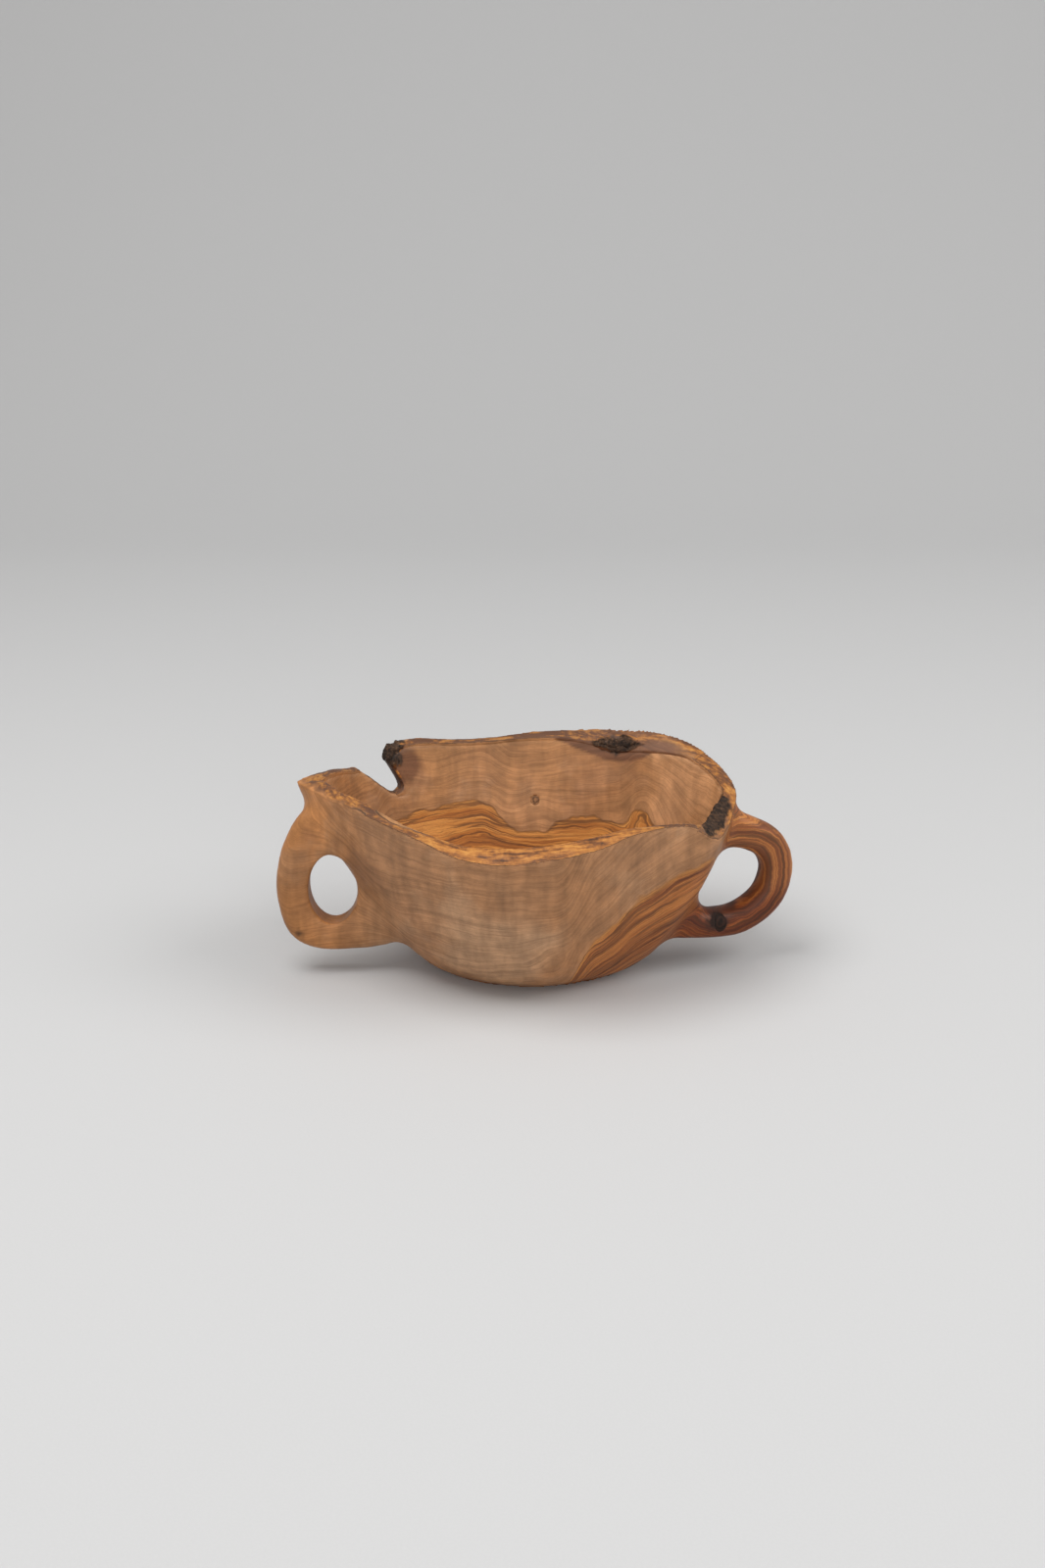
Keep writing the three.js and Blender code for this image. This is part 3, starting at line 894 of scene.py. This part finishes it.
# Rings of the knots
KNOT_RINGS = 2.6
KNOT_WOBBLE = 9.0
KNOT_CONTRAST = 0.2

# Colours, and ramps of colours
SAP_OUTSIDE = (0.385, 0.187, 0.083)
SAP_INSIDE = (0.42, 0.20, 0.078)
SAP_PALE = (0.47, 0.27, 0.145)
# Golden sapwood inside the bowl, also used as painted light on the inner wall at the right end
SAP_GOLD_AND_LIT = (0.56, 0.285, 0.13)
SAP_WARM = (0.36, 0.16, 0.062)
SAP_LEFT = (0.45, 0.19, 0.062)
LINE_BROWN = (0.10, 0.04, 0.014)
# Darker, redder tint on the lower arm of the right handle: painted shade over its red heartwood
ARM_SHADE_TINT = (0.57, 0.41, 0.33)
HEART_TINT = (1.0, 0.9, 0.84)
HEART_GOLD = (0.62, 0.30, 0.075)
# Brown of the stains, also used as painted shade in two of the brown patches
STAIN_AND_SHADE_BROWN = (0.14, 0.058, 0.027)
SPOT_DARK = (0.022, 0.010, 0.007)
RIM_DARK = (0.04, 0.019, 0.01)
RIM_BROWN = (0.11, 0.046, 0.022)
SWEEP_GREY = (0.54, 0.54, 0.54)
HEART_STOPS = [
    (0.30, (0.15, 0.05, 0.012)),
    (0.38, (0.32, 0.118, 0.024)),
    (0.47, (0.48, 0.195, 0.038)),
    (0.58, (0.64, 0.31, 0.075)),
    (0.72, (0.42, 0.16, 0.032)),
]
RED_HEART_STOPS = [
    (0.30, (0.07, 0.019, 0.008)),
    (0.42, (0.19, 0.056, 0.018)),
    (0.54, (0.34, 0.112, 0.03)),
    (0.66, (0.52, 0.205, 0.05)),
    (0.78, (0.28, 0.09, 0.025)),
]
BAST_STOPS = [
    (0.30, (0.05, 0.021, 0.009)),
    (0.40, (0.17, 0.06, 0.016)),
    (0.50, (0.355, 0.13, 0.026)),
    (0.60, (0.49, 0.20, 0.04)),
    (0.72, (0.62, 0.30, 0.075)),
]
CRUST_STOPS = [
    (0.30, (0.006, 0.0035, 0.0025)),
    (0.45, (0.022, 0.012, 0.007)),
    (0.58, (0.065, 0.033, 0.017)),
    (0.72, (0.16, 0.09, 0.05)),
]
DARK_KNOT_STOPS = [
    (0.30, (0.012, 0.006, 0.004)),
    (0.50, (0.018, 0.008, 0.005)),
    (0.72, (0.032, 0.013, 0.008)),
]
PIN_KNOT_STOPS = [
    (0.30, (0.12, 0.058, 0.028)),
    (0.50, (0.26, 0.13, 0.062)),
    (0.72, (0.38, 0.19, 0.085)),
]


class Figure(Shader):
    """The bowl's wood, with its inner and outer bark where the fields put them."""

    def __init__(self, name):
        super().__init__(name)
        fray = self.math("SUBTRACT", self.noise(self.stretched(FRAY_SCALES), 1.0), 0.5)
        self.rings = self.math("MULTIPLY_ADD", fray, FRAY_DEPTH, self.field("rings"))
        self.heart = self.math("MULTIPLY_ADD", fray, FRAY_DEPTH, self.field("heart"))
        slow = [self.math("MULTIPLY", self.axis(axis), RING_DRIFT) for axis in "XY"]
        layers = self.vector(self.math("MULTIPLY", self.rings, RING_SCALE), *slow)
        self.streaks = self.noise(layers, 1.0, 3.5, 0.62)
        bold = self.ring_lines(layers, **BOLD_LINES)
        fine = self.ring_lines(layers, **FINE_LINES)
        self.lines = self.math("MAXIMUM", bold, fine)
        self.fibres = self.noise(self.stretched(FIBRE_SCALES), 1.0, 2.0)

    def ring_lines(self, layers, scale, start, end, strength):
        """Thin lines along the rings, where a noise crosses its middle."""
        height = self.math("SUBTRACT", self.noise(layers, scale, 2.0, 0.5), 0.5)
        return self.span(self.math("ABSOLUTE", height), start, end, strength, 0.0)

    def by_side(self, outside, inside):
        """A number with one value outside the bowl and another inside it."""
        return self.span(self.field("inside"), 0.0, 1.0, outside, inside)

    def heartwood(self):
        color = self.ramp(self.streaks, HEART_STOPS)
        red = self.math("MAXIMUM", self.field("right_end"), self.by_side(*RED_HEART))
        color = self.mix(red, color, self.ramp(self.streaks, RED_HEART_STOPS))
        color = self.mix(self.span(self.heart, 0.5, 6.0, 0.6, 0.0), color, HEART_GOLD)
        color = self.mix(self.math("MULTIPLY", self.lines, HEART_LINES), color, LINE_BROWN)
        body = self.math("SUBTRACT", 1.0, self.field("right_end"))
        color = self.mix(body, color, HEART_TINT, "MULTIPLY")
        # Painted shade: the lower arm of the right handle, darkened towards its bottom
        return self.mix(self.field("right_arm_shade"), color, ARM_SHADE_TINT, "MULTIPLY")

    def sapwood(self):
        color = self.mix(self.field("inside"), SAP_OUTSIDE, SAP_INSIDE)
        color = self.mix(self.field("left_end"), color, SAP_LEFT)
        clouds = self.noise(self.place, 26.0, 4.0, 0.6)
        color = self.mix(self.span(clouds, 0.5, 0.68, 0.0, 0.55), color, SAP_PALE)
        color = self.shade(color, self.span(clouds, 0.3, 0.5, 0.85, 1.0))
        warmth = self.noise(self.place, 13.0, 3.0)
        color = self.mix(self.span(warmth, 0.45, 0.65, 0.0, 0.6), color, SAP_WARM)
        # Patches of whiter sapwood; on the inner wall at the right end they are partly painted light
        pale_and_lit = self.mix(self.field("inside"), SAP_PALE, SAP_GOLD_AND_LIT)
        color = self.mix(self.field("pale_and_lit"), color, pale_and_lit)
        mottle = self.noise(self.place, 95.0, 3.0)
        ripple = self.noise(self.stretched(RIPPLE_SCALES), 1.0, 2.0)
        color = self.shade(color, self.span(mottle, 0.32, 0.68, 0.88, 1.1))
        color = self.shade(color, self.span(ripple, 0.32, 0.68, 0.85, 1.1))
        color = self.shade(color, self.span(self.streaks, 0.3, 0.7, 0.86, 1.08))
        lines = self.math("MULTIPLY", self.lines, self.by_side(*SAP_LINES))
        return self.mix(lines, color, LINE_BROWN)

    def wood(self):
        """Sapwood and heartwood with the border between them, stains and spots, with painted shade and
        painted light in some places.
        """
        start = self.by_side(*BORDER_START)
        share = self.span(self.heart, start, self.math("MULTIPLY", start, BORDER_END_SHARE))
        color = self.mix(share, self.sapwood(), self.heartwood())
        border = self.math("ABSOLUTE", self.math("SUBTRACT", self.heart, BORDER_LINE_PLACE))
        line = self.span(border, 0.3, 1.4, self.by_side(*BORDER_LINE), 0.0)
        color = self.mix(line, color, LINE_BROWN)
        # Stains and brown patches in a streaky brown; two of the patches are partly painted shade
        brown = self.shade(STAIN_AND_SHADE_BROWN, self.span(self.streaks, 0.3, 0.7, 0.8, 1.25))
        color = self.mix(self.math("MULTIPLY", self.field("stain"), STAIN_STRENGTH), color, brown)
        color = self.mix(self.field("spots"), color, SPOT_DARK)
        return self.shade(color, self.span(self.fibres, 0.3, 0.7, 0.93, 1.05))

    def bast(self):
        """Inner bark: its colour and its height, in streaks along the rim."""
        ways = (self.field("along"), self.field("across"), self.axis("Z"))
        scaled = [self.math("MULTIPLY", way, scale) for way, scale in zip(ways, BAST_SCALES)]
        streaks = self.noise(self.vector(*scaled), 1.0, 5.0, 0.62)
        grains = self.noise(self.place, 330.0, 3.0)
        mixed = self.math("MULTIPLY_ADD", grains, BAST_GRAINS, streaks)
        mixed = self.math("SUBTRACT", mixed, BAST_SHADE)
        dark = self.math("MULTIPLY", self.field("darkness"), self.span(mixed, 0.42, 0.6, 1.5, 0.5))
        return self.mix(dark, self.ramp(mixed, BAST_STOPS), RIM_BROWN), mixed

    def crust(self):
        """Outer bark: its colour and its height."""
        lumps = self.noise(self.place, 150.0, 5.0, 0.7)
        specks = self.noise(self.place, 600.0, 3.0)
        mixed = self.math("MULTIPLY_ADD", lumps, CRUST_LUMPS, self.math("MULTIPLY", specks, CRUST_SPECKS))
        return self.ramp(mixed, CRUST_STOPS), mixed


def wood_material():
    """Carved wood, with outer bark where it reaches onto the wall."""
    s = Figure("olive_wood")
    crust_color, _ = s.crust()
    color = s.mix(s.field("crust"), s.wood(), crust_color)
    roughness = s.span(s.streaks, 0.2, 0.8, *WOOD_ROUGHNESS)
    roughness = s.math("MAXIMUM", roughness, s.math("MULTIPLY", s.field("spots"), SPOT_ROUGHNESS))
    normal = s.bump(s.fibres, FIBRE_BUMP)
    normal = s.bump(s.streaks, STREAK_BUMP, normal)
    return s.finish(color, roughness, normal, WOOD_SPECULAR)


def rim_material(name):
    """Wood at the sides, inner bark on top, a dark line between them, and outer bark where it is left."""
    s = Figure(name)
    bast_color, bast_height = s.bast()
    crust_color, crust_height = s.crust()
    bast = s.field("bast")
    crust = s.field("crust")
    color = s.mix(bast, s.wood(), bast_color)
    line = s.math("ABSOLUTE", s.math("SUBTRACT", bast, BAST_LINE_PLACE))
    faded = s.span(s.field("stain"), 0.0, 0.4, 1.0, 0.15)
    strength = s.math("MULTIPLY", s.span(s.field("left_end"), 0.0, 0.6, 0.85, 0.2), faded)
    color = s.mix(s.span(line, 0.08, 0.3, strength, 0.0), color, RIM_DARK)
    color = s.mix(crust, color, crust_color)
    normal = s.bump(s.math("MULTIPLY", bast, bast_height), BAST_BUMP)
    normal = s.bump(s.math("MULTIPLY", crust, crust_height), CRUST_BUMP, normal)
    return s.finish(color, s.span(crust, 0.0, 1.0, *RIM_ROUGHNESS), normal, WOOD_SPECULAR)


def knot_material(name, stops):
    """Dark rings round the middle of a knot."""
    s = Shader(name)
    radius = s.field("radius")
    wobble = s.noise(s.place, 260.0, 4.0)
    turns = s.math("MULTIPLY_ADD", radius, KNOT_RINGS, s.math("MULTIPLY", wobble, KNOT_WOBBLE))
    rings = s.math("MULTIPLY_ADD", s.math("SINE", turns), KNOT_CONTRAST, 0.5)
    color = s.ramp(rings, stops)
    normal = s.bump(rings, KNOT_BUMP)
    return s.finish(color, s.span(wobble, 0.3, 0.7, *KNOT_ROUGHNESS), normal, DULL_SPECULAR)


def sweep_material():
    s = Shader("paper_sweep")
    grain = s.noise(s.place, 700.0, 2.0)
    color = s.shade(SWEEP_GREY, s.span(grain, 0.3, 0.7, 0.98, 1.0))
    normal = s.bump(grain, PAPER_BUMP)
    return s.finish(color, s.span(grain, 0.3, 0.7, *PAPER_ROUGHNESS), normal, DULL_SPECULAR)


def dress(obj, material, slot, *nodes):
    """Gives a piece its material and its place in the frame."""
    obj.data.materials.clear()
    obj.data.materials.append(material)
    obj.data.polygons.foreach_set("use_smooth", [True] * len(obj.data.polygons))
    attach(obj, "root")
    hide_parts(*nodes)


# Floor, lights and camera

def paper_sweep():
    """A floor that curves up into a backdrop."""
    profile = [(SWEEP_FRONT, 0)]
    for step in range(SWEEP_STEPS + 1):
        turn = math.radians(90 * step / SWEEP_STEPS)
        y = SWEEP_BACK - SWEEP_RADIUS + SWEEP_RADIUS * math.sin(turn)
        profile.append((y, SWEEP_RADIUS * (1 - math.cos(turn))))
    profile.append((SWEEP_BACK, SWEEP_TOP))
    points = [(x, y, z) for y, z in profile for x in (-SWEEP_HALF_WIDTH, SWEEP_HALF_WIDTH)]
    faces = [(2 * i, 2 * i + 1, 2 * i + 3, 2 * i + 2) for i in range(len(profile) - 1)]
    mesh = bpy.data.meshes.new("paper_sweep")
    mesh.from_pydata(points, [], faces)
    sweep = new_object("paper_sweep", mesh)
    mesh.materials.append(sweep_material())
    mesh.polygons.foreach_set("use_smooth", [True] * len(faces))


def softbox(name, spot, target, size, power):
    lamp = bpy.data.lights.new(name, "AREA")
    lamp.shape = "DISK"
    lamp.size = size
    lamp.energy = power
    obj = new_object(name, lamp)
    obj.location = spot
    obj.rotation_euler = (Vector(target) - Vector(spot)).to_track_quat("-Z", "Y").to_euler()


def studio():
    world = bpy.data.worlds.new("studio")
    bpy.context.scene.world = world
    world.use_nodes = True
    background = world.node_tree.nodes["Background"]
    background.inputs["Color"].default_value = (*SKY_COLOR, 1)
    background.inputs["Strength"].default_value = SKY_STRENGTH
    for light in LIGHTS:
        softbox(**light)


def camera():
    data = bpy.data.cameras.new("camera")
    data.lens = LENS
    data.sensor_width = SENSOR
    obj = new_object("camera", data)
    obj.location = CAMERA_PLACE
    obj.rotation_euler = (math.radians(CAMERA_PITCH), 0, 0)
    bpy.context.scene.camera = obj


# The scene

def main():
    for obj in list(bpy.data.objects):
        bpy.data.objects.remove(obj)
    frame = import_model()
    nodes = frame["nodes"]
    seated = {name: node.data for name, node in nodes.items()}
    seated.update({name: seated_copy(nodes, name) for name in nodes if name != "bowl_body"})

    wood = carved_wood(nodes, seated)
    pin_knot = knot_piece("pin_knot", nodes["back_wall_knot"], wood)
    handle_knot = knot_piece("handle_knot", nodes["right_handle_knot"], wood)
    dress(pin_knot, knot_material("pin_knot_wood", PIN_KNOT_STOPS), "knot", "back_wall_knot")
    dress(handle_knot, knot_material("dark_knot_wood", DARK_KNOT_STOPS), "knot", "right_handle_knot")
    paint(nodes, wood, 0)
    dress(wood, wood_material(), "carved_wood", *WOOD_NODES)

    live_edge = rim_material("live_edge")
    for name in EDGE_NODES:
        skin = rough_piece(name + "_skin", seated[name], EDGE_VOXEL, 0)
        paint(nodes, skin, 1)
        dress(skin, live_edge, "live_edge", name)

    outer_bark = rim_material("outer_bark")
    for name in BARK_NODES:
        bark = rough_piece(name + "_crust", seated[name], BARK_VOXEL, BARK_SEED_SHIFT)
        paint(nodes, bark, 1)
        dress(bark, outer_bark, "bark", name)

    paper_sweep()
    studio()
    camera()
    bpy.context.scene.view_settings.view_transform = "Standard"


main()
